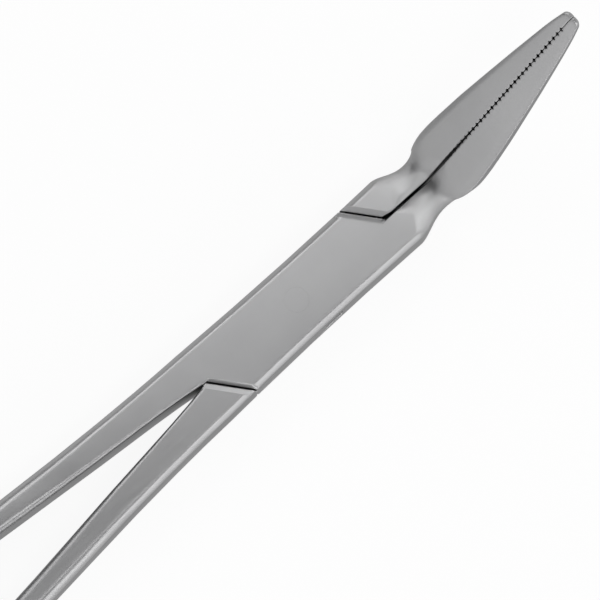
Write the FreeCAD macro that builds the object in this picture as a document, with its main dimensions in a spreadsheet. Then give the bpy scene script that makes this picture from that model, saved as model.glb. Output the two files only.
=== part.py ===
import FreeCAD, Part
import math
import os

import Sketcher

# Splinter forceps with a box lock, lying on its underside.
# Millimetres and degrees. X runs to the tips, Z is up, and the origin is on the pivot's axis,
# in the plane of the underside. The two halves are alike when one is turned half a turn about
# the pivot, apart from the lock: box_half is slotted, and tongue_half passes through the slot.

SIZES = {
    # the box, where the two halves cross
    "box_thick": 5.0,
    "box_half_wide": 3.57,
    "box_front_half_wide": 3.63,
    "box_back_half_wide": 3.85,
    "box_back": 12.0,
    "box_front": 12.8,
    "box_bevel": 0.55,
    "box_round": 0.35,
    # the slanted steps at both ends of the cheeks
    "step_reach": 11.45,
    "step_angle": 38.5,
    "step_gap": 0.15,
    "step_bevel": 0.3,
    "corner_relief": 0.38,
    "corner_relief_reach": 13.3,
    "half_gap": 0.05,
    # tongue, slot and pivot
    "tongue_thick": 1.9,
    "slot_clear": 0.05,
    "hub_radius": 2.2,
    "web_clear": 0.05,
    "arm_angle": 60.0,
    "open_angle": 36.0,
    "pin_radius": 1.2,
    "pin_press_clear": 0.005,
    "pin_run_clear": 0.03,
    # the neck: place of each station's top, lean of the section, half width, height, bevel
    "neck1_reach": 13.9,
    "neck1_high": 4.97,
    "neck1_lean": 3.0,
    "neck1_half_wide": 3.3,
    "neck1_tall": 4.6,
    "neck1_bevel": 0.6,
    "neck2_reach": 15.05,
    "neck2_high": 4.9,
    "neck2_lean": 10.0,
    "neck2_half_wide": 2.84,
    "neck2_tall": 4.05,
    "neck2_bevel": 0.8,
    "neck3_reach": 16.2,
    "neck3_high": 4.74,
    "neck3_lean": 22.0,
    "neck3_half_wide": 2.78,
    "neck3_tall": 3.45,
    "neck3_bevel": 0.8,
    # the foot of the jaw, on the jaw's line past the crease
    "neck4_along": 1.3,
    "neck4_lean": 45.0,
    "neck4_half_wide": 3.28,
    "neck4_tall": 3.3,
    "neck4_bevel": 0.7,
    # the jaw: the line its top follows, and stations along it from the crease
    "crease_reach": 16.3,
    "crease_high": 4.6,
    "jaw_angle": 45.0,
    "jaw_crown": 5.0,
    "jaw_bevel_ratio": 0.2,
    "jaw_round_ratio": 0.16,
    "jaw1_along": 3.0,
    "jaw1_half_wide": 3.65,
    "jaw1_thick": 3.15,
    "jaw2_along": 5.2,
    "jaw2_half_wide": 3.6,
    "jaw2_thick": 3.05,
    "jaw3_along": 8.7,
    "jaw3_half_wide": 3.29,
    "jaw3_thick": 2.7,
    "jaw4_along": 12.5,
    "jaw4_half_wide": 2.85,
    "jaw4_thick": 2.35,
    "jaw5_along": 16.35,
    "jaw5_half_wide": 2.37,
    "jaw5_thick": 2.0,
    "jaw6_along": 20.2,
    "jaw6_half_wide": 1.85,
    "jaw6_thick": 1.6,
    "jaw7_along": 23.6,
    "jaw7_half_wide": 1.35,
    "jaw7_thick": 1.2,
    "jaw8_along": 25.4,
    "jaw8_half_wide": 0.99,
    "jaw8_thick": 0.98,
    # the rounded end of the jaw, two more stations that shrink about their middle
    "tip1_along": 25.75,
    "tip1_half_wide": 0.8,
    "tip1_thick": 0.84,
    "tip2_along": 25.95,
    "tip2_half_wide": 0.46,
    "tip2_thick": 0.5,
    # the meeting faces: how far each stands back from the middle plane
    "meet1_reach": 13.5,
    "meet1_back": 0.14,
    "meet2_reach": 15.4,
    "meet2_back": 0.07,
    "meet3_reach": 17.6,
    "meet3_back": 0.17,
    "meet4_reach": 20.0,
    "meet4_back": 0.13,
    "meet5_reach": 23.5,
    "meet5_back": 0.05,
    "meet_tip_back": 0.02,
    # teeth across the meeting faces
    "tooth_start": 3.6,
    "tooth_pitch": 0.67,
    "tooth_count": 32,
    "tooth_deep": 0.24,
    # the shank, stations along it: place, inner and outer edge, thickness
    "shank1_back": 17.0,
    "shank1_inner": 0.72,
    "shank1_outer": 3.98,
    "shank1_thick": 4.95,
    "shank2_back": 25.0,
    "shank2_inner": 1.48,
    "shank2_outer": 4.42,
    "shank2_thick": 4.75,
    "shank3_back": 33.0,
    "shank3_inner": 2.33,
    "shank3_outer": 5.06,
    "shank3_thick": 4.5,
    "shank4_back": 50.0,
    "shank4_inner": 3.85,
    "shank4_outer": 6.42,
    "shank4_thick": 4.1,
    "shank5_back": 60.0,
    "shank5_inner": 4.9,
    "shank5_outer": 7.55,
    "shank5_thick": 3.9,
    "shank6_back": 65.5,
    "shank6_inner": 5.9,
    "shank6_outer": 8.75,
    "shank6_thick": 3.8,
    "shank_inner_bevel": 0.22,
    "shank_inner_round": 0.14,
    # the finger ring, an oval whose long axis runs into the shank
    "ring_back": 88.0,
    "ring_aside": 15.0,
    "ring_angle": 20.0,
    "ring_inner_half_long": 11.5,
    "ring_inner_half_wide": 9.5,
    "ring_inner_arc": 8.8,
    "ring_band": 4.0,
    "ring_thick": 3.7,
    "ring_round": 1.45,
    "stub_long": 4.5,
    "stub_wide": 3.4,
    "stub_fillet": 4.0,
    "stub_ledge": 0.02,
}

SHANK_STATIONS = 6
NECK_STATIONS = 4
JAW_STATIONS = 8
TIP_STATIONS = 2
MEET_STATIONS = 5
BEVEL_OF_ROUND = 2 - math.sqrt(2)  # a 45 degree bevel that touches a round of radius one
SIDE_BEVEL_OF_ROUND = math.tan(math.pi / 8) - math.tan(math.pi / 16)  # bevels either side of it
NEARLY_ROUND = 0.94  # corner radius that leaves a short flat between neighbouring rounds


class Size:
    """A size as a number together with the sheet expression that gives it."""

    def __init__(self, value, text=None):
        self.value = float(value)
        self.text = text or repr(float(value))

    def joined(self, sign, other, value):
        return Size(value, f"({self.text} {sign} {as_size(other).text})")

    def __add__(self, other):
        return self.joined("+", other, self.value + as_size(other).value)

    def __sub__(self, other):
        return self.joined("-", other, self.value - as_size(other).value)

    def __mul__(self, other):
        return self.joined("*", other, self.value * as_size(other).value)

    def __truediv__(self, other):
        return self.joined("/", other, self.value / as_size(other).value)

    def __neg__(self):
        return Size(-self.value, f"(-1 * {self.text})")


def as_size(number):
    return number if isinstance(number, Size) else Size(number)


def sine(angle):
    return Size(math.sin(math.radians(angle.value)), f"sin({angle.text} * 1 deg)")


def cosine(angle):
    return Size(math.cos(math.radians(angle.value)), f"cos({angle.text} * 1 deg)")


def tangent(angle):
    return Size(math.tan(math.radians(angle.value)), f"tan({angle.text} * 1 deg)")


def arc_sine(ratio):
    return Size(math.degrees(math.asin(ratio.value)), f"(asin({ratio.text}) / 1 deg)")


doc = FreeCAD.newDocument("splinter_forceps")
sheet = doc.addObject("Spreadsheet::Sheet", "sizes")
for row, (alias, number) in enumerate(SIZES.items(), start=1):
    sheet.set(f"A{row}", alias)
    sheet.set(f"B{row}", str(number))
    sheet.setAlias(f"B{row}", alias)
doc.recompute()


def size(alias):
    return Size(sheet.get(alias), f"sizes.{alias}")


ZERO = Size(0)
thick = size("box_thick")
half_gap = size("half_gap")
beyond = size("box_back_half_wide") * 2  # cutters reach past every side by this


# Sketches

def origin_plane(body, role):
    return next(plane for plane in body.Origin.OriginFeatures if plane.Role == role)


def new_sketch(body, name, role, shift, axis=None, turn=None):
    """A sketch on an origin plane, shifted, then turned about one of its own axes."""
    sketch = body.newObject("Sketcher::SketchObject", name)
    sketch.AttachmentSupport = (origin_plane(body, role), "")
    sketch.MapMode = "FlatFace"
    place = FreeCAD.Placement(
        FreeCAD.Vector(*(part.value for part in shift)),
        FreeCAD.Rotation(axis, turn.value) if axis else FreeCAD.Rotation(),
    )
    sketch.AttachmentOffset = place
    for letter, part in zip("xyz", shift):
        sketch.setExpression(f"AttachmentOffset.Base.{letter}", part.text)
    if axis:
        sketch.setExpression("AttachmentOffset.Rotation.Angle", turn.text)
    return sketch


def pin_point(sketch, geometry, end, across, up, label):
    """Fix a point of the sketch by its two coordinates, each bound to the sheet."""
    for kind, axis, part in (("DistanceX", -2, across), ("DistanceY", -1, up)):
        if part is ZERO:
            sketch.addConstraint(Sketcher.Constraint("PointOnObject", geometry, end, axis))
            continue
        index = sketch.addConstraint(Sketcher.Constraint(kind, geometry, end, part.value))
        sketch.renameConstraint(index, f"{label}{kind[-1]}")
        sketch.setExpression(f"Constraints.{label}{kind[-1]}", part.text)


def unit(start, end):
    return (end - start).normalize()


def draw_outline(sketch, corners, tag="p"):
    """A closed outline through corners (across, up, radius), sharp where the radius is None."""
    points = [FreeCAD.Vector(across.value, up.value, 0) for across, up, _ in corners]
    count = len(corners)
    starts, ends, arcs = [], [], {}
    for i, (_, _, radius) in enumerate(corners):
        here = points[i]
        if radius is None:
            starts.append(here)
            ends.append(here)
            continue
        back = unit(here, points[i - 1])
        on = unit(here, points[(i + 1) % count])
        half = math.acos(max(-1.0, min(1.0, back.dot(on)))) / 2
        run = radius.value / math.tan(half)
        middle = here + (back + on).normalize() * (radius.value / math.sin(half))
        ends.append(here + back * run)
        starts.append(here + on * run)
        halfway = middle + unit(middle, here) * radius.value
        arcs[i] = Part.Arc(ends[i], halfway, starts[i])
    lines = [
        sketch.addGeometry(Part.LineSegment(starts[i], ends[(i + 1) % count])) for i in range(count)
    ]
    for i, (across, up, radius) in enumerate(corners):
        before, after = lines[i - 1], lines[i]
        label = f"{tag}{i}"
        if radius is None:
            sketch.addConstraint(Sketcher.Constraint("Coincident", before, 2, after, 1))
            pin_point(sketch, after, 1, across, up, label)
            continue
        arc = sketch.addGeometry(arcs[i])
        clockwise = (starts[i] - ends[i]).cross(points[i] - ends[i]).z > 0
        first, last = (2, 1) if clockwise else (1, 2)
        sketch.addConstraint(Sketcher.Constraint("Tangent", before, 2, arc, first))
        sketch.addConstraint(Sketcher.Constraint("Tangent", after, 1, arc, last))
        mark = sketch.addGeometry(Part.Point(points[i]), True)
        sketch.addConstraint(Sketcher.Constraint("PointOnObject", mark, 1, before))
        sketch.addConstraint(Sketcher.Constraint("PointOnObject", mark, 1, after))
        pin_point(sketch, mark, 1, across, up, label)
        index = sketch.addConstraint(Sketcher.Constraint("Radius", arc, radius.value))
        sketch.renameConstraint(index, f"{label}Round")
        sketch.setExpression(f"Constraints.{label}Round", radius.text)


# Features

def add_loft(body, name, sections):
    loft = body.newObject("PartDesign::AdditiveLoft", name)
    loft.Profile = sections[0]
    loft.Sections = sections[1:]
    loft.Ruled = False
    loft.Refine = False
    return loft


def cut(body, name, sketch, depth=None, upward=None):
    """A pocket: right through both ways, or by depth to one side of the sketch."""
    pocket = body.newObject("PartDesign::Pocket", name)
    pocket.Profile = sketch
    pocket.Refine = False
    if depth is None:
        pocket.SideType = "Symmetric"
        pocket.Type = "ThroughAll"
    else:
        pocket.Type = "Length"
        pocket.setExpression("Length", depth.text)
        pocket.Reversed = bool(upward)
    return pocket


def circle_sketch(body, name, radius):
    sketch = new_sketch(body, name, "XY_Plane", (ZERO, ZERO, ZERO))
    circle = Part.Circle(FreeCAD.Vector(0, 0, 0), FreeCAD.Vector(0, 0, 1), radius.value)
    sketch.addGeometry(circle)
    sketch.addConstraint(Sketcher.Constraint("Coincident", 0, 3, -1, 1))
    index = sketch.addConstraint(Sketcher.Constraint("Radius", 0, radius.value))
    sketch.renameConstraint(index, "radius")
    sketch.setExpression("Constraints.radius", radius.text)
    return sketch


def dress_edges(body, kind, name, base, wanted, measure, width):
    """Fillet or chamfer the edges of the base feature for which wanted(edge) is true."""
    doc.recompute()
    names = [f"Edge{i}" for i, edge in enumerate(base.Shape.Edges, start=1) if wanted(edge)]
    dressing = body.newObject(f"PartDesign::{kind}", name)
    dressing.Base = (base, names)
    setattr(dressing, measure, width.value)
    dressing.setExpression(measure, width.text)
    dressing.Refine = False
    return dressing


def fillet_edges(body, name, base, wanted, radius):
    return dress_edges(body, "Fillet", name, base, wanted, "Radius", radius)


def bevel_edges(body, name, base, wanted, width):
    return dress_edges(body, "Chamfer", name, base, wanted, "Size", width)


# The finger ring with its stub

def ring_frame(side):
    """Centre of the ring, and the direction from it to the shank."""
    angle = size("ring_angle").value * side
    centre = FreeCAD.Vector(-size("ring_back").value, size("ring_aside").value * side, 0)
    along = FreeCAD.Vector(math.cos(math.radians(angle)), -math.sin(math.radians(angle)), 0)
    return centre, along


def stub_reach():
    return size("ring_inner_half_long") + size("ring_band") + size("stub_long")


def oval(sketch, half_long, half_wide, rounding, tag):
    """A long oval about the sketch's origin: four wide arcs with short straights between."""
    draw_outline(sketch, [
        (half_long, -half_wide, rounding),
        (half_long, half_wide, rounding),
        (-half_long, half_wide, rounding),
        (-half_long, -half_wide, rounding),
    ], tag)


def add_ring(body, side):
    """Oval ring, a short stub towards the shank, a fillet between them, and rims in fine bevels."""
    shift = (-size("ring_back"), size("ring_aside") * side, ZERO)
    turn = size("ring_angle") * -side
    up = FreeCAD.Vector(0, 0, 1)
    long_in = size("ring_inner_half_long")
    wide_in = size("ring_inner_half_wide")
    band = size("ring_band")
    height = size("ring_thick")
    profile = new_sketch(body, "ring_profile", "XY_Plane", shift, up, turn)
    arc_in = size("ring_inner_arc")
    oval(profile, long_in + band, wide_in + band, arc_in + band, "outer")
    oval(profile, long_in, wide_in, arc_in, "inner")
    ring = body.newObject("PartDesign::Pad", "ring")
    ring.Profile = profile
    ring.setExpression("Length", height.text)
    stub_sketch = new_sketch(body, "stub_profile", "XY_Plane", shift, up, turn)
    half = size("stub_wide") / 2
    start = long_in + band / 2
    draw_outline(stub_sketch, [
        (start, -half, None),
        (stub_reach(), -half, None),
        (stub_reach(), half, None),
        (start, half, None),
    ])
    stub = body.newObject("PartDesign::Pad", "stub")
    stub.Profile = stub_sketch
    stub.setExpression("Length", height.text)
    stub.Refine = False
    centre, along = ring_frame(side)
    reach = stub_reach().value

    def local(point):
        offset = point - centre
        return offset.dot(along), abs(offset.cross(along).z)

    def root_edge(edge):
        ends = [vertex.Point for vertex in edge.Vertexes]
        if len(ends) != 2 or abs(ends[0].z - ends[1].z) < height.value / 2:
            return False
        forward, aside = local(ends[0])
        return 0 < forward < reach - 0.01 and aside > half.value / 2

    def rim_edge(edge):
        level = edge.BoundBox.ZLength < 0.01
        return level and any(local(vertex.Point)[0] < reach - 0.01 for vertex in edge.Vertexes)

    root = fillet_edges(body, "stub_root", stub, root_edge, size("stub_fillet"))
    rim = size("ring_round")
    wide = bevel_edges(body, "rim_bevels", root, rim_edge, rim * BEVEL_OF_ROUND)
    return bevel_edges(body, "rim_side_bevels", wide, rim_edge, rim * SIDE_BEVEL_OF_ROUND)


# The shank

def shank_section(body, name, side, shift, turn, inner, outer, tall, bevels, lift=ZERO):
    """A bar section with all four long edges bevelled, from its inner to its outer edge."""
    upright = FreeCAD.Vector(0, 1, 0)
    sketch = new_sketch(body, name, "YZ_Plane", shift, upright if turn else None, turn)
    inner_bevel, inner_round, outer_bevel, outer_round = bevels
    draw_outline(sketch, [
        ((inner + inner_bevel) * side, lift, inner_round),
        ((outer - outer_bevel) * side, lift, outer_round),
        (outer * side, lift + outer_bevel, outer_round),
        (outer * side, lift + tall - outer_bevel, outer_round),
        ((outer - outer_bevel) * side, lift + tall, outer_round),
        ((inner + inner_bevel) * side, lift + tall, inner_round),
        (inner * side, lift + tall - inner_bevel, inner_round),
        (inner * side, lift + inner_bevel, inner_round),
    ])
    return sketch


def add_shank(body, side):
    inner_edge = (size("shank_inner_bevel"), size("shank_inner_round"))
    outer_edge = (size("box_bevel"), size("box_round"))
    edges = inner_edge + outer_edge
    # at the stub the bevels open out until the section is the stub's, less a small ledge
    full = size("ring_round")
    round_edge = (full * BEVEL_OF_ROUND, full * NEARLY_ROUND) * 2
    ledge = size("stub_ledge")
    half = size("stub_wide") / 2 - ledge
    angle = size("ring_angle")
    stub_end = (
        size("ring_aside") * side - stub_reach() * sine(angle) * side,
        ZERO,
        stub_reach() * cosine(angle) - size("ring_back"),
    )
    sections = [
        shank_section(
            body, "shank_at_ring", side, stub_end, angle * -side,
            -half, half, size("ring_thick") - ledge * 2, round_edge, ledge,
        )
    ]
    for i in range(SHANK_STATIONS, 0, -1):
        inner = size(f"shank{i}_inner")
        outer = size(f"shank{i}_outer")
        tall = size(f"shank{i}_thick")
        shift = (ZERO, ZERO, -size(f"shank{i}_back"))
        share = (i - 1) / SHANK_STATIONS
        bevels = tuple(
            plain * (1 - share) + rounded * share for plain, rounded in zip(edges, round_edge)
        )
        sections.append(
            shank_section(body, f"shank_at_{i}", side, shift, None, inner, outer, tall, bevels)
        )
    shift = (ZERO, ZERO, -size("box_back"))
    back_wide = size("box_back_half_wide")
    sections.append(
        shank_section(body, "shank_at_box", side, shift, None, half_gap, back_wide, thick, edges)
    )
    return add_loft(body, "shank", sections)


# The box, neck and jaws of both halves together, as one bar that is parted later

def bar_section(body, name, shift, lean, half_wide, tall, bevel, edge_round, crown):
    """A symmetric section hung from its top middle: ridge, bevels, sides, bevels, flat sole."""
    across = FreeCAD.Vector(1, 0, 0)
    sketch = new_sketch(body, name, "YZ_Plane", shift, across if lean else None, lean)
    flat = half_wide - bevel
    drop = flat * tangent(crown) if crown else ZERO
    right = [
        (flat, -tall, edge_round),
        (half_wide, bevel - tall, edge_round),
        (half_wide, -(drop + bevel), edge_round),
        (flat, -drop if crown else ZERO, edge_round),
    ]
    left = [(-wide, up, rounding) for wide, up, rounding in reversed(right)]
    draw_outline(sketch, [(ZERO, -tall, None)] + right + [(ZERO, ZERO, None)] + left)
    return sketch


def box_section(body, name, reach, half_wide):
    bevel = size("box_bevel")
    return bar_section(
        body, name, (ZERO, thick, reach), None, half_wide, thick, bevel, size("box_round"), None
    )


def add_box(body):
    sections = [
        box_section(body, "box_at_back", -size("box_back"), size("box_back_half_wide")),
        box_section(body, "box_at_pivot", ZERO, size("box_half_wide")),
        box_section(body, "box_at_front", size("box_front"), size("box_front_half_wide")),
    ]
    add_loft(body, "box", sections)
    return sections[-1]


def neck_top(i):
    """Reach and height of a neck station's top; the last one lies on the jaw's line."""
    if i < NECK_STATIONS:
        return size(f"neck{i}_reach"), size(f"neck{i}_high")
    angle = size("jaw_angle")
    along = size(f"neck{i}_along")
    return (
        size("crease_reach") + along * cosine(angle),
        size("crease_high") + along * sine(angle),
    )


def jaw_section(body, kind, i, dip):
    """A section square to the jaw's line; its top lies below that line by dip."""
    angle = size("jaw_angle")
    reach, high = size("crease_reach"), size("crease_high")
    along = size(f"{kind}{i}_along")
    tall = size(f"{kind}{i}_thick")
    shift = (
        ZERO,
        high + along * sine(angle) - dip * cosine(angle),
        reach + along * cosine(angle) + dip * sine(angle),
    )
    bevel = tall * size("jaw_bevel_ratio")
    edge_round = tall * size("jaw_round_ratio")
    wide = size(f"{kind}{i}_half_wide")
    crown = size("jaw_crown")
    name = f"{kind}_at_{i}"
    return bar_section(body, name, shift, -angle, wide, tall, bevel, edge_round, crown)


def add_neck(body, first):
    """From the end of the box down and in, and round the crease to the foot of the jaw."""
    sections = [first]
    box_round = size("box_round")
    for i in range(1, NECK_STATIONS + 1):
        reach, high = neck_top(i)
        shift = (ZERO, high, reach)
        lean = -size(f"neck{i}_lean")
        wide = size(f"neck{i}_half_wide")
        tall = size(f"neck{i}_tall")
        bevel = size(f"neck{i}_bevel")
        edge_round = box_round * bevel / size("box_bevel")
        sections.append(
            bar_section(body, f"neck_at_{i}", shift, lean, wide, tall, bevel, edge_round, None)
        )
    add_loft(body, "neck", sections)
    return sections[-1]


def add_jaw(body, foot):
    sections = [foot] + [jaw_section(body, "jaw", i, ZERO) for i in range(1, JAW_STATIONS + 1)]
    add_loft(body, "jaw", sections)
    end_thick = size(f"jaw{JAW_STATIONS}_thick")
    tips = [
        jaw_section(body, "tip", i, (end_thick - size(f"tip{i}_thick")) / 2)
        for i in range(1, TIP_STATIONS + 1)
    ]
    return add_loft(body, "tip", sections[-1:] + tips)


# The parting of the two halves, in plan

def tip_reach():
    """Plan reach that is past the jaw's tip at any jaw angle."""
    return size("crease_reach") + size(f"tip{TIP_STATIONS}_along")


def meeting_face(side):
    """Plan points of a jaw's meeting face, from the box to past the tip; side is the jaw's."""
    points = []
    for i in range(1, MEET_STATIONS + 1):
        points.append((size(f"meet{i}_reach"), size(f"meet{i}_back") * side, None))
    points.append((tip_reach(), size("meet_tip_back") * side, None))
    return points


def lock_angle():
    """Slant of the tongue's long edges, from the step's corner to the hub circle."""
    return arc_sine(size("hub_radius") / size("step_reach"))


def hub_corner(hub, first, second):
    """Where two edges that touch the hub circle meet; they leave it in these directions."""
    radius = hub / cosine((second - first) / 2)
    place = (first + second) / 2
    return -radius * sine(place), radius * cosine(place)


def edge_at(hub, direction, up):
    """How far across an edge that touches the hub circle is, at a height up the plan."""
    return (up * cosine(direction) - hub) / sine(direction)


def turned(corners):
    """The same corners half a turn about the pivot."""
    return [(-across, -up, rounding) for across, up, rounding in corners]


def step_line(reach, start):
    """Corner of a step and its far end past the side, for the step at the front."""
    far = reach - (beyond - start) * tangent(size("step_angle"))
    return [(reach, start, None), (far, beyond, None)]


def part_box_half(body):
    """Take away the other half's room, leaving both cheeks whole between the steps."""
    step = size("step_reach")
    other_jaw = new_sketch(body, "other_jaw", "XY_Plane", (ZERO, ZERO, ZERO))
    face = meeting_face(-1)
    corner, far = step_line(step, -half_gap)
    end = [(tip_reach() + beyond, face[-1][1], None), (tip_reach() + beyond, beyond, None)]
    draw_outline(other_jaw, [corner] + face + end + [far])
    cut(body, "other_jaw_room", other_jaw)
    other_shank = new_sketch(body, "other_shank", "XY_Plane", (ZERO, ZERO, ZERO))
    past = step + beyond
    draw_outline(
        other_shank,
        turned([corner, (past, -half_gap, None), (past, beyond, None), far]),
    )
    cut(body, "other_shank_room", other_shank)


def cut_window(body):
    """The slot between the cheeks, which leaves a web on each side of the tongue's swing."""
    hub = size("hub_radius") + size("web_clear")
    slant = lock_angle()
    stop = size("arm_angle") + size("open_angle")
    slot = size("tongue_thick") + size("slot_clear") * 2
    start = (hub - half_gap * cosine(slant)) / sine(slant)
    inner = hub_corner(hub, slant, stop)
    half = [
        (inner[0], inner[1], None),
        (-start, half_gap, None),
        (-start, -beyond, None),
        (-edge_at(hub, stop, beyond), -beyond, None),
    ]
    window = new_sketch(body, "window_profile", "XY_Plane", (ZERO, ZERO, (thick - slot) / 2))
    draw_outline(window, half + turned(half))
    cut(body, "window", window, slot, upward=True)


def part_tongue_half(body):
    """Take away the other half's room, down to the Z-shaped plan of shank, tongue and jaw."""
    hub = size("hub_radius")
    slant = lock_angle()
    arm = size("arm_angle")
    inner = hub_corner(hub, slant, arm)
    start = (hub + half_gap * cosine(slant)) / sine(slant)
    edge = [
        (-start, -half_gap, None),
        (inner[0], inner[1], None),
        (edge_at(hub, arm, beyond), beyond, None),
    ]
    past = size("step_reach") + beyond
    shank_room = new_sketch(body, "other_shank", "XY_Plane", (ZERO, ZERO, ZERO))
    draw_outline(shank_room, edge + [(-past, beyond, None), (-past, -half_gap, None)])
    cut(body, "other_shank_room", shank_room)
    face = meeting_face(1)
    jaw_room = new_sketch(body, "other_jaw", "XY_Plane", (ZERO, ZERO, ZERO))
    end = [(tip_reach() + beyond, face[-1][1], None), (tip_reach() + beyond, -beyond, None)]
    draw_outline(jaw_room, turned(edge)[::-1] + face + end)
    cut(body, "other_jaw_room", jaw_room)


def thin_tongue(body):
    """Room for the cheeks above and below the tongue, between the slanted steps."""
    step = size("step_reach") + size("step_gap")
    relief = size("corner_relief")
    relief_reach = size("corner_relief_reach")
    lean = tangent(size("step_angle"))
    past = size("step_reach") + beyond
    corners = [
        (-past, beyond, None),
        (-past, -half_gap, None),
        (-step, -half_gap, None),
        ((beyond - half_gap) * lean - step, -beyond, None),
        (relief_reach, -beyond, None),
        (relief_reach, -half_gap, None),
        (step - relief * lean, relief, None),
        (step - beyond * lean, beyond, None),
    ]
    lower = (thick - size("tongue_thick")) / 2
    upper = (thick + size("tongue_thick")) / 2
    for name, level, upward in (("cheek_above", upper, True), ("cheek_below", lower, False)):
        room = new_sketch(body, f"{name}_profile", "XY_Plane", (ZERO, ZERO, level))
        draw_outline(room, corners)
        cut(body, name, room, thick, upward)


def bevel_step(body, name, shift, facing, upward):
    """Bevel the top and bottom edges of a slanted end that faces along X, from its corner outwards."""
    bevel = size("step_bevel")
    upright = FreeCAD.Vector(0, 1, 0)
    profile = new_sketch(body, f"{name}_profile", "XZ_Plane", shift, upright, size("step_angle"))
    for tag, edge, out in (("top", thick, 1), ("sole", ZERO, -1)):
        corners = [
            (bevel * -2 * facing, edge + bevel * out, None),
            (bevel * facing, edge + bevel * out, None),
            (bevel * facing, edge - bevel * 2 * out, None),
        ]
        draw_outline(profile, corners, tag)
    cut(body, name, profile, beyond * 2, upward)


def bevel_cheeks(body):
    step = size("step_reach")
    bevel_step(body, "front_bevel", (step, ZERO, half_gap), 1, False)
    bevel_step(body, "back_bevel", (-step, ZERO, -half_gap), -1, True)


def bevel_tongue_steps(body):
    """The same bevel on the full-thickness ends either side of the tongue."""
    step = size("step_reach") + size("step_gap")
    bevel_step(body, "front_bevel", (step, ZERO, ZERO), -1, False)
    bevel_step(body, "back_bevel", (-step, ZERO, half_gap), 1, True)


def bore(body, clearance):
    hole = circle_sketch(body, "pivot_bore_profile", size("pin_radius") + clearance)
    cut(body, "pivot_bore", hole)


def cut_teeth(body, side):
    """V grooves straight across the meeting face, repeated along the jaw."""
    angle = size("jaw_angle")
    foot = (size("crease_reach"), ZERO, size("crease_high"))
    across = FreeCAD.Vector(0, 1, 0)
    groove = new_sketch(body, "tooth_profile", "XY_Plane", foot, across, -angle)
    deep = size("tooth_deep")
    first = size("tooth_start")
    draw_outline(groove, [
        (first - deep * 2, -deep * side, None),
        (first + deep * 2, -deep * side, None),
        (first, deep * side, None),
    ])
    single = cut(body, "tooth", groove)
    row = body.newObject("PartDesign::LinearPattern", "teeth")
    row.Originals = [single]
    row.Direction = (groove, ["H_Axis"])
    row.Mode = "Spacing"
    row.setExpression("Offset", size("tooth_pitch").text)
    row.setExpression("Occurrences", size("tooth_count").text)
    row.Refine = False
    body.Tip = row


# The three pieces

def half_blank(name, side):
    """Ring, shank, box bar and jaw bar of one half; side is the shank's, and the jaw is opposite."""
    body = doc.addObject("PartDesign::Body", name)
    body.Label = name
    add_ring(body, side)
    add_shank(body, side)
    front = add_box(body)
    add_jaw(body, add_neck(body, front))
    return body


def box_half():
    body = half_blank("box_half", 1)
    part_box_half(body)
    bevel_cheeks(body)
    cut_window(body)
    bore(body, size("pin_press_clear"))
    cut_teeth(body, -1)
    return body


def tongue_half():
    body = half_blank("tongue_half", -1)
    part_tongue_half(body)
    thin_tongue(body)
    bevel_tongue_steps(body)
    bore(body, size("pin_run_clear"))
    cut_teeth(body, 1)
    return body


def pivot_pin():
    body = doc.addObject("PartDesign::Body", "pivot_pin")
    body.Label = "pivot_pin"
    pin = body.newObject("PartDesign::Pad", "pin")
    pin.Profile = circle_sketch(body, "pin_profile", size("pin_radius"))
    pin.setExpression("Length", thick.text)
    return body


def check(pieces):
    """Stop where any object failed or any piece is empty or broken."""
    failed = [item.Name for item in doc.Objects if {"Invalid", "Error"} & set(item.State)]
    if failed:
        raise RuntimeError(f"objects that failed: {failed}")
    for piece in pieces:
        if piece.Shape.isNull() or not piece.Shape.isValid() or len(piece.Shape.Solids) != 1:
            raise RuntimeError(f"{piece.Label} is not one sound solid")


pieces = [box_half(), tongue_half(), pivot_pin()]
doc.recompute()
check(pieces)
os.makedirs("parts", exist_ok=True)
for piece in pieces:
    piece.Shape.exportStep(f"parts/{piece.Label}.step")
    print(piece.Label, "volume", round(piece.Shape.Volume, 2), piece.Shape.BoundBox)
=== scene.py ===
import math

import bpy
from mathutils import Matrix, Vector

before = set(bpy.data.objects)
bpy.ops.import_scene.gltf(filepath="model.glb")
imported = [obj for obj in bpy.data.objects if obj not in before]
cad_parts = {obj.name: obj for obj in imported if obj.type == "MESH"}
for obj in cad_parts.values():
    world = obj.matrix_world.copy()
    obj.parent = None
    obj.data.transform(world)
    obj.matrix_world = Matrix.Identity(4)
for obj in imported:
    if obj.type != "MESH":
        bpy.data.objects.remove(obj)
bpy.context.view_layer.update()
print("splinter forceps: packed halves and pin loaded")


def add(tree, kind, inputs, **settings):
    # a node with its settings, then its values and links
    node = tree.nodes.new(kind)
    for name, value in settings.items():
        setattr(node, name, value)
    for name, value in inputs.items():
        if isinstance(value, bpy.types.NodeSocket):
            tree.links.new(value, node.inputs[name])
        else:
            node.inputs[name].default_value = value
    return node


def ramp(tree, source, start, end, low=0.0, high=1.0):
    span = {"Value": source, "From Min": start, "From Max": end, "To Min": low, "To Max": high}
    return add(tree, "ShaderNodeMapRange", span).outputs["Result"]


def between(tree, source, rise, fall, full=1.0):
    return times(tree, ramp(tree, source, *rise), ramp(tree, source, *fall, full, 0.0))


def times(tree, first, second):
    return add(tree, "ShaderNodeMath", {0: first, 1: second}, operation="MULTIPLY").outputs[0]


def larger(tree, first, second):
    return add(tree, "ShaderNodeMath", {0: first, 1: second}, operation="MAXIMUM").outputs[0]


def measured(tree, vector, way):
    # how far a vector reaches along a way
    return add(tree, "ShaderNodeVectorMath", {0: vector, 1: way}, operation="DOT_PRODUCT").outputs["Value"]


def emptyMaterial(name):
    mat = bpy.data.materials.new(name)
    mat.use_nodes = True
    mat.node_tree.nodes.clear()
    return mat, mat.node_tree


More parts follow.
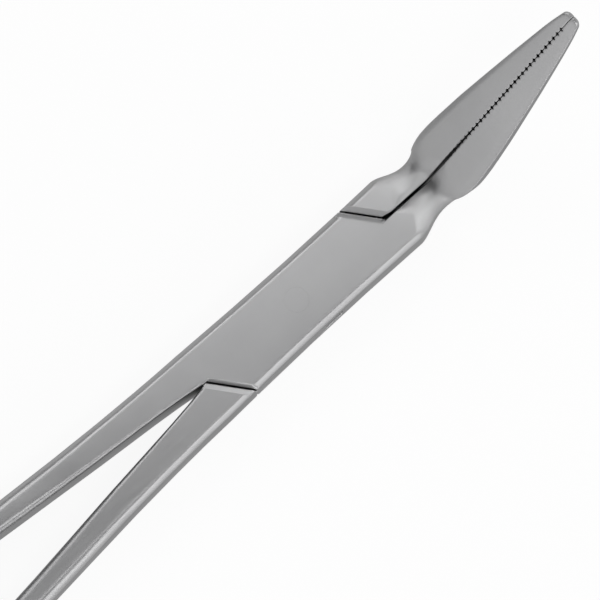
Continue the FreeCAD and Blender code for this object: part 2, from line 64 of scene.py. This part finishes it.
# satin steel of both halves and the pin, as it comes from the polishing wheel
finish = {
    "steel": (0.39, 0.39, 0.393, 1.0),
    "dullSteel": (0.372, 0.372, 0.376, 1.0),
    "edgeTint": (0.42, 0.42, 0.42, 1.0),   # how much of the shine is left at a glancing angle
    "roughness": 0.36,
    "roughnessSwing": 0.025,
    "clouds": {"Scale": 120, "Detail": 4.0, "Roughness": 0.55},  # soft patches left by the wheel
    "cloudSpan": (0.35, 0.62),
    "lines": {"Scale": 7000, "Detail": 3.0},                     # polishing lines along the forceps
    "lineStretch": (0.02, 1.0, 1.0),
    "lineSpan": (0.3, 0.7),
    "lineHeight": 0.0000007,
    "gapDepth": 0.0006,           # painted shade in joints and teeth, where ambient occlusion finds the surface hidden this far down
    "gapSamples": 8,
    "gapShade": (0.1, 0.45),
    "gapShadeColour": (0.006, 0.006, 0.006, 1.0),
    "seamShade": (0.00012, 0.00022),       # at the neck the painted shade reaches out of the seam
    "seamRise": (0.0108, 0.0116),
    "seamFall": (0.0185, 0.0225),
}


# cloudy steel tone, with painted shade in gaps, joints and teeth and along the seam at the neck
def steelToneAndPaintedShade(tree, here, place):
    clouds = add(tree, "ShaderNodeTexNoise", {"Vector": here, **finish["clouds"]})
    cloudy = ramp(tree, clouds.outputs["Fac"], *finish["cloudSpan"])
    tone = add(tree, "ShaderNodeMix", {"Factor": cloudy, "A": finish["dullSteel"], "B": finish["steel"]},
               data_type="RGBA")
    # painted shade: ambient occlusion picks out gaps, joints and teeth
    hidden = add(tree, "ShaderNodeAmbientOcclusion", {"Distance": finish["gapDepth"]},
                 samples=finish["gapSamples"])
    openAir = ramp(tree, hidden.outputs["AO"], *finish["gapShade"])
    # painted shade along the seam between the jaws at the neck
    fromSeam = add(tree, "ShaderNodeMath", {0: place["Y"]}, operation="ABSOLUTE").outputs[0]
    atNeck = between(tree, place["X"], finish["seamRise"], finish["seamFall"])
    seamUnshaded = larger(tree, ramp(tree, fromSeam, *finish["seamShade"]), ramp(tree, atNeck, 0.0, 1.0, 1.0, 0.0))
    unshaded = times(tree, openAir, seamUnshaded)
    # painted shade: the steel tone is mixed towards the dark shade colour where it is occluded or at the neck
    # seam
    film = add(tree, "ShaderNodeMix", {"Factor": unshaded, "A": finish["gapShadeColour"], "B": tone.outputs["Result"]},
               data_type="RGBA")
    return film.outputs["Result"]


def polishLines(tree, here):
    stretched = add(tree, "ShaderNodeMapping", {"Vector": here, "Scale": finish["lineStretch"]})
    lines = add(tree, "ShaderNodeTexNoise", {"Vector": stretched.outputs["Vector"], **finish["lines"]})
    return lines.outputs["Fac"]


# how the wheel has rounded and flattened it
wheel = {
    "edgeSoft": 0.0003,           # edges rubbed over
    "edgeSamples": 8,
    "neckSoft": 0.0036,           # the neck is rubbed much rounder, crease and all
    "neckRise": (0.0126, 0.0142),
    "neckFall": (0.0176, 0.019),
    "pinBlend": (0.0013, 0.0018),          # nothing at the pin, which is ground off with the box
    "jawUp": (-0.7071, 0.0, 0.7071),       # the jaws are flat almost to their outer edges
    "jawRise": (0.0163, 0.0178),
    "jawFacing": (0.25, 0.6),
    "jawFlat": 0.85,
    "crownRadius": 0.11,          # flats are very slightly crowned across
    "crownReach": 0.005,
}

# worn strips beside the two steps of the box, measured square to the step
wear = {
    "square": (0.783, 0.622),
    "stepOut": 0.00896,           # from the pivot
    "sideBlend": 0.0003,          # the strips stop at the seam
    "upFacing": (0.4, 0.7),       # and lie only on faces that look up
    "tongue_half": [
        {"side": -1, "rise": (0.0, 0.0001), "fall": (0.00066, 0.00073), "share": 1.0,
         "face": (0.087, -0.151, 0.985)},
        {"side": 1, "rise": (0.0, 0.0001), "fall": (0.00066, 0.00073), "share": 1.0,
         "face": (-0.21, 0.22, 0.953)},
    ],
    "box_half": [
        {"side": -1, "rise": (-0.0004, -0.0001), "fall": (0.0002, 0.0003), "share": 0.8,
         "face": (-0.24, 0.24, 0.94)},
        {"side": 1, "rise": (-0.00068, -0.00045), "fall": (0.0002, 0.0003), "share": 1.0,
         "face": (-0.24, 0.24, 0.94)},
    ],
    "pivot_pin": [],
}


def leanTo(tree, normal, face, share):
    # turns a normal part of the way to a face of the half
    way = add(tree, "ShaderNodeVectorTransform", {"Vector": face}, vector_type="NORMAL")
    mix = add(tree, "ShaderNodeMix", {"Factor": share, "A": normal, "B": way.outputs["Vector"]},
              data_type="VECTOR")
    return add(tree, "ShaderNodeVectorMath", {0: mix.outputs["Result"]}, operation="NORMALIZE").outputs["Vector"]


def rubbedShape(tree, here, place, node):
    flat = add(tree, "ShaderNodeMapping", {"Vector": here, "Scale": (1.0, 1.0, 0.0)})
    fromPin = add(tree, "ShaderNodeVectorMath", {0: flat.outputs["Vector"]}, operation="LENGTH")
    neck = between(tree, place["X"], wheel["neckRise"], wheel["neckFall"])
    soft = times(tree, ramp(tree, neck, 0.0, 1.0, wheel["edgeSoft"], wheel["neckSoft"]),
                 ramp(tree, fromPin.outputs["Value"], *wheel["pinBlend"]))
    rubbed = add(tree, "ShaderNodeBevel", {"Radius": soft}, samples=wheel["edgeSamples"]).outputs["Normal"]
    inHalf = add(tree, "ShaderNodeVectorTransform", {"Vector": rubbed}, vector_type="NORMAL",
                 convert_from="WORLD", convert_to="OBJECT").outputs["Vector"]

    onJaw = times(tree, ramp(tree, place["X"], *wheel["jawRise"], 0.0, wheel["jawFlat"]),
                  ramp(tree, measured(tree, inHalf, wheel["jawUp"]), *wheel["jawFacing"]))
    shape = leanTo(tree, rubbed, wheel["jawUp"], onJaw)

    upwards = ramp(tree, measured(tree, inHalf, (0.0, 0.0, 1.0)), *wear["upFacing"])
    for strip in wear[node]:
        square = [part * strip["side"] for part in wear["square"]] + [0.0]
        rise, fall = ([wear["stepOut"] + edge for edge in strip[name]] for name in ("rise", "fall"))
        share = between(tree, measured(tree, here, square), rise, fall, strip["share"])
        share = times(tree, share, ramp(tree, place["Y"], -wear["sideBlend"] * strip["side"], 0.0))
        shape = leanTo(tree, shape, strip["face"], times(tree, share, upwards))

    reach = wheel["crownReach"]
    across = ramp(tree, place["Y"], -reach, reach, -reach, reach)
    crown = add(tree, "ShaderNodeBump", {"Height": times(tree, across, across), "Normal": shape,
                                         "Distance": 0.5 / wheel["crownRadius"]}, invert=True)
    return crown.outputs["Normal"]


def satinSteel(node):
    mat, tree = emptyMaterial("satinSteel_" + node)
    here = add(tree, "ShaderNodeTexCoord", {}).outputs["Object"]
    place = add(tree, "ShaderNodeSeparateXYZ", {"Vector": here}).outputs
    lines = polishLines(tree, here)
    relief = add(tree, "ShaderNodeBump", {"Height": lines, "Normal": rubbedShape(tree, here, place, node),
                                          "Distance": finish["lineHeight"]})
    rough, swing = finish["roughness"], finish["roughnessSwing"]
    steel = add(tree, "ShaderNodeBsdfPrincipled", {
        "Metallic": 1.0,
        "Specular Tint": finish["edgeTint"],
        "Base Color": steelToneAndPaintedShade(tree, here, place),
        "Roughness": ramp(tree, lines, *finish["lineSpan"], rough - swing, rough + swing),
        "Normal": relief.outputs["Normal"],
    })
    add(tree, "ShaderNodeOutputMaterial", {"Surface": steel.outputs["BSDF"]})
    return mat


# shading of the facets
rounding = {
    "join": 0.000001,
    "realEdge": math.radians(32),
}


def facetsToRounds():
    # neighbouring facets are shaded as one round, real edges stay sharp
    tree = bpy.data.node_groups.new("facetsToRounds", "GeometryNodeTree")
    tree.interface.new_socket("Geometry", in_out="INPUT", socket_type="NodeSocketGeometry")
    tree.interface.new_socket("Geometry", in_out="OUTPUT", socket_type="NodeSocketGeometry")
    start = add(tree, "NodeGroupInput", {})
    join = add(tree, "GeometryNodeMergeByDistance", {"Geometry": start.outputs[0], "Distance": rounding["join"]})
    smooth = add(tree, "GeometryNodeSetShadeSmooth", {"Geometry": join.outputs["Geometry"]})
    angle = add(tree, "GeometryNodeInputMeshEdgeAngle", {}).outputs["Unsigned Angle"]
    steep = add(tree, "FunctionNodeCompare", {0: angle, 1: rounding["realEdge"]}, operation="GREATER_THAN")
    keepEdges = add(tree, "GeometryNodeSetShadeSmooth", {
        "Geometry": smooth.outputs["Geometry"], "Selection": steep.outputs["Result"], "Shade Smooth": False,
    }, domain="EDGE")
    add(tree, "NodeGroupOutput", {0: keepEdges.outputs["Geometry"]})
    return tree


def dressNode(node, mat, tree):
    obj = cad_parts[node]
    for slot in obj.material_slots:
        slot.material = mat
    shading = obj.modifiers.new("facetsToRounds", "NODES")
    shading.node_group = tree
    weights = obj.modifiers.new("weights", "WEIGHTED_NORMAL")
    weights.keep_sharp = True


rounds = facetsToRounds()
for node in ("box_half", "tongue_half", "pivot_pin"):
    dressNode(node, satinSteel(node), rounds)
print("splinter forceps: steel finished")

# a white table that the forceps lies on, with room all round for the side views
table = {
    "half": 3.0,
    "below": 0.00002,
    "white": (0.9, 0.9, 0.9, 1.0),
    "glow": 0.99,                 # what the camera and the steel see of it, 1 is white
    "glowShare": 0.92,            # the rest is plain white card, which takes the shadow
}


def whiteTable():
    mesh = bpy.data.meshes.new("table")
    s = table["half"]
    mesh.from_pydata([(-s, -s, 0), (s, -s, 0), (s, s, 0), (-s, s, 0)], [], [(0, 1, 2, 3)])
    top = bpy.data.objects.new("table", mesh)
    top.location = (0, 0, -table["below"])
    bpy.context.scene.collection.objects.link(top)
    mat, tree = emptyMaterial("whiteCard")
    card = add(tree, "ShaderNodeBsdfDiffuse", {"Color": table["white"]})
    glow = add(tree, "ShaderNodeEmission", {"Strength": table["glow"]})
    ray = add(tree, "ShaderNodeLightPath", {}).outputs
    seen = larger(tree, larger(tree, ray["Is Camera Ray"], ray["Is Glossy Ray"]), ray["Is Transmission Ray"])
    share = times(tree, seen, table["glowShare"])
    blend = add(tree, "ShaderNodeMixShader", {"Fac": share, 1: card.outputs["BSDF"], 2: glow.outputs["Emission"]})
    add(tree, "ShaderNodeOutputMaterial", {"Surface": blend.outputs["Shader"]})
    mesh.materials.append(mat)


whiteTable()

# light boxes round the table; turn is counted from the tips towards the box half's ring
boxAway = 0.6
lamps = [
    {"name": "tipsFarTop", "turn": 45, "high": 75, "size": 0.17, "shine": 2.12},
    {"name": "tipsHigh", "turn": 0, "high": 58, "size": 0.22, "shine": 2.22},
    {"name": "farHigh", "turn": 90, "high": 58, "size": 0.22, "shine": 2.03},
    {"name": "ringsNearHigh", "turn": 225, "high": 58, "size": 0.22, "shine": 4.28},
    {"name": "tipsNearHigh", "turn": 315, "high": 58, "size": 0.22, "shine": 3.86},
    {"name": "tipsFarMiddle", "turn": 45, "high": 38, "size": 0.26, "shine": 2.25},
    {"name": "farMiddle", "turn": 90, "high": 38, "size": 0.26, "shine": 1.9},
    {"name": "tipsFarLow", "turn": 45, "high": 16, "size": 0.3, "shine": 2.26},
    {"name": "ringsLow", "turn": 180, "high": 16, "size": 0.3, "shine": 1.2},
    {"name": "ringsNearLow", "turn": 225, "high": 16, "size": 0.3, "shine": 2.78},
    {"name": "nearLow", "turn": 270, "high": 16, "size": 0.3, "shine": 2.16},
    {"name": "tipsNearLow", "turn": 315, "high": 16, "size": 0.3, "shine": 3.02},
]
room = (0.2, 0.2, 0.202, 1.0)


def hangLamps():
    for lamp in lamps:
        data = bpy.data.lights.new(lamp["name"], "AREA")
        data.size = lamp["size"]
        data.energy = lamp["shine"] * math.pi * data.size ** 2
        obj = bpy.data.objects.new(lamp["name"], data)
        turn, high = math.radians(lamp["turn"]), math.radians(lamp["high"])
        flat = math.cos(high)
        way = Vector((math.cos(turn) * flat, math.sin(turn) * flat, math.sin(high)))
        obj.location = way * boxAway
        obj.rotation_euler = way.to_track_quat("Z", "Y").to_euler()
        bpy.context.scene.collection.objects.link(obj)
    world = bpy.data.worlds.new("studio")
    world.use_nodes = True
    world.node_tree.nodes["Background"].inputs["Color"].default_value = room
    bpy.context.scene.world = world


hangLamps()
print("splinter forceps: table and light boxes set")

# long lens from nearly straight above, leaning to the handles and to the far ring's side
lens = {
    "length": 305.04,
    "film": 36.0,
    "clip": (0.05, 20.0),
    "away": 0.48038,
    "aim": (0.00023, -0.00023, 0.005),
    "leanToHandles": 4.032,
    "leanAside": 6.664,
    "turn": 42.371,               # angle of the forceps across the picture
}


def setCamera():
    data = bpy.data.cameras.new("camera")
    data.lens = lens["length"]
    data.sensor_width = lens["film"]
    data.clip_start, data.clip_end = lens["clip"]
    camera = bpy.data.objects.new("camera", data)
    bpy.context.scene.collection.objects.link(camera)
    lean, aside = math.radians(lens["leanToHandles"]), math.radians(lens["leanAside"])
    back = Vector((-math.tan(lean), -math.tan(aside), 1)).normalized()
    tips = Vector((1, 0, 0))
    tips = (tips - back * tips.dot(back)).normalized()
    ring = back.cross(tips)
    turn = math.radians(lens["turn"])
    right = tips * math.cos(turn) - ring * math.sin(turn)
    up = tips * math.sin(turn) + ring * math.cos(turn)
    place = Matrix((right, up, back)).transposed().to_4x4()
    place.translation = Vector(lens["aim"]) + back * lens["away"]
    camera.matrix_world = place
    bpy.context.scene.camera = camera


setCamera()
bpy.context.scene.view_settings.view_transform = "Standard"

print("splinter forceps: camera set, ready to render")
